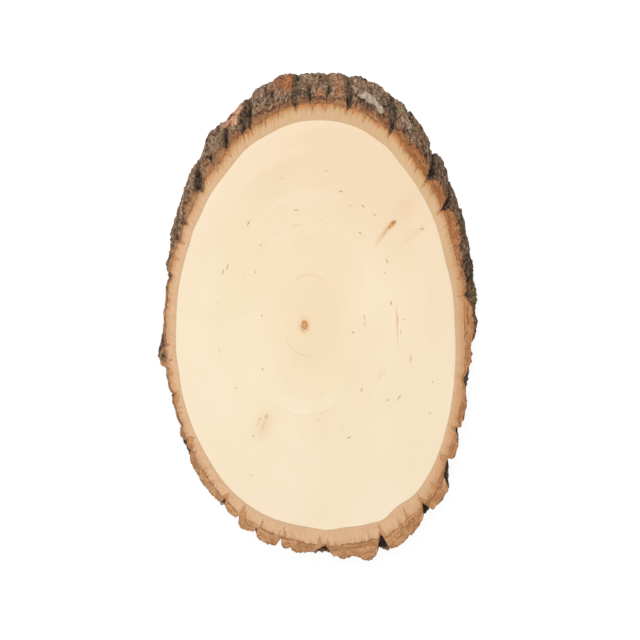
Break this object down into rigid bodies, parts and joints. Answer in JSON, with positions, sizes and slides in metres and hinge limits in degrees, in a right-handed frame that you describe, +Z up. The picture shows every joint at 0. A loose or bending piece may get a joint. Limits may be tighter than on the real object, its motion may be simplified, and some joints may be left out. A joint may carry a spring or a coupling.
{
  "type": "wood slice",
  "caption": "Oval slice of a log sawn on the slant, with a flat sanded face, a level back and its rough furrowed bark left on all round.",
  "frame": {"origin": "centre of the bounding box, on the back face that the slice lies on", "axes": "+Z up out of the sanded face, +Y along the long way of the oval, towards the end where the bark shows from above, +X across it"},
  "size_m": [0.1828, 0.284, 0.018],
  "materials": {
    "wood": "sanded",
    "moss": "soft"
  },
  "bodies": {
    "root": {"wood_slice": "wood"}
  },
  "joints": []
}
